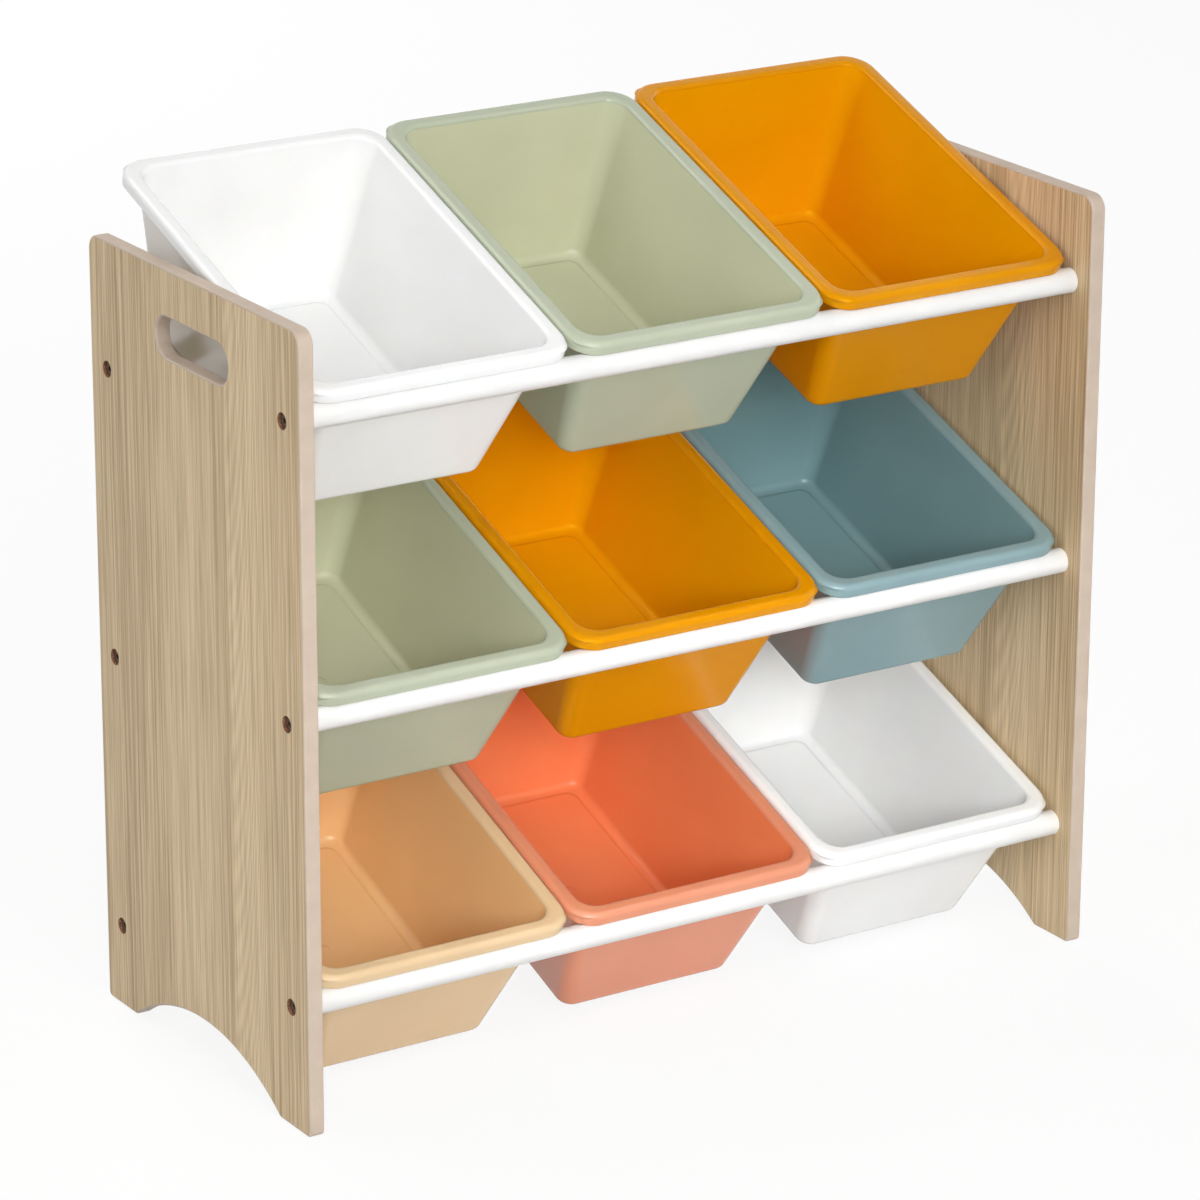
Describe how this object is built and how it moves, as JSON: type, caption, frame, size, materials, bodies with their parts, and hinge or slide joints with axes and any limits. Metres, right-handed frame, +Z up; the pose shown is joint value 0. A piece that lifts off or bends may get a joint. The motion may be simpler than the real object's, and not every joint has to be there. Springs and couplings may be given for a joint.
{
  "type": "bin storage rack",
  "caption": "Low storage rack: board side panels with handle slots, joined by round rails that carry open moulded bins, which hang tilted forwards and lift out.",
  "frame": {"origin": "on the ground, midway between the side panels and midway between their front and rear edges", "axes": "+X to the right as seen from the front, +Y to the rear, +Z up"},
  "size_m": [0.68, 0.3026, 0.641],
  "materials": {
    "wood_foil_board": "wood-grain foil on both faces, painted edges",
    "white_rail": "satin white paint",
    "dark_screw": "dark zinc",
    "white_bin": "satin polypropylene",
    "sage_bin": "satin polypropylene",
    "mustard_bin": "satin polypropylene",
    "teal_bin": "satin polypropylene",
    "peach_bin": "satin polypropylene",
    "coral_bin": "satin polypropylene"
  },
  "bodies": {
    "frame": {"side_panel_left": "wood_foil_board", "side_panel_right": "wood_foil_board", "front_rail_top": "white_rail", "rear_rail_top": "white_rail", "front_rail_middle": "white_rail", "rear_rail_middle": "white_rail", "front_rail_bottom": "white_rail", "rear_rail_bottom": "white_rail", "front_rail_top_screws": "dark_screw", "rear_rail_top_screws": "dark_screw", "front_rail_middle_screws": "dark_screw", "rear_rail_middle_screws": "dark_screw", "front_rail_bottom_screws": "dark_screw", "rear_rail_bottom_screws": "dark_screw"},
    "bin_top_left": {"bin_top_left": "white_bin"},
    "bin_top_centre": {"bin_top_centre": "sage_bin"},
    "bin_top_right": {"bin_top_right": "mustard_bin"},
    "bin_middle_left": {"bin_middle_left": "sage_bin"},
    "bin_middle_centre": {"bin_middle_centre": "mustard_bin"},
    "bin_middle_right": {"bin_middle_right": "teal_bin"},
    "bin_bottom_left": {"bin_bottom_left": "peach_bin"},
    "bin_bottom_centre": {"bin_bottom_centre": "coral_bin"},
    "bin_bottom_right": {"bin_bottom_right": "white_bin"}
  },
  "joints": [
    {"name": "bin_top_left_lift", "type": "slide", "parent": "frame", "child": "bin_top_left", "axis": [0, -0.3469, 0.9379], "range_m": [0, 0.25]},
    {"name": "bin_top_centre_lift", "type": "slide", "parent": "frame", "child": "bin_top_centre", "axis": [0, -0.3469, 0.9379], "range_m": [0, 0.25]},
    {"name": "bin_top_right_lift", "type": "slide", "parent": "frame", "child": "bin_top_right", "axis": [0, -0.3469, 0.9379], "range_m": [0, 0.25]},
    {"name": "bin_middle_left_tip", "type": "hinge", "parent": "frame", "child": "bin_middle_left", "pos_m": [-0.2164, 0.1273, 0.2755], "axis": [-1, 0, 0], "range_deg": [0, 26]},
    {"name": "bin_middle_centre_tip", "type": "hinge", "parent": "frame", "child": "bin_middle_centre", "pos_m": [0, 0.1273, 0.2755], "axis": [-1, 0, 0], "range_deg": [0, 26]},
    {"name": "bin_middle_right_tip", "type": "hinge", "parent": "frame", "child": "bin_middle_right", "pos_m": [0.2164, 0.1273, 0.2755], "axis": [-1, 0, 0], "range_deg": [0, 26]},
    {"name": "bin_bottom_left_tip", "type": "hinge", "parent": "frame", "child": "bin_bottom_left", "pos_m": [-0.2164, 0.1273, 0.064], "axis": [-1, 0, 0], "range_deg": [0, 26]},
    {"name": "bin_bottom_centre_tip", "type": "hinge", "parent": "frame", "child": "bin_bottom_centre", "pos_m": [0, 0.1273, 0.064], "axis": [-1, 0, 0], "range_deg": [0, 26]},
    {"name": "bin_bottom_right_tip", "type": "hinge", "parent": "frame", "child": "bin_bottom_right", "pos_m": [0.2164, 0.1273, 0.064], "axis": [-1, 0, 0], "range_deg": [0, 26]}
  ]
}
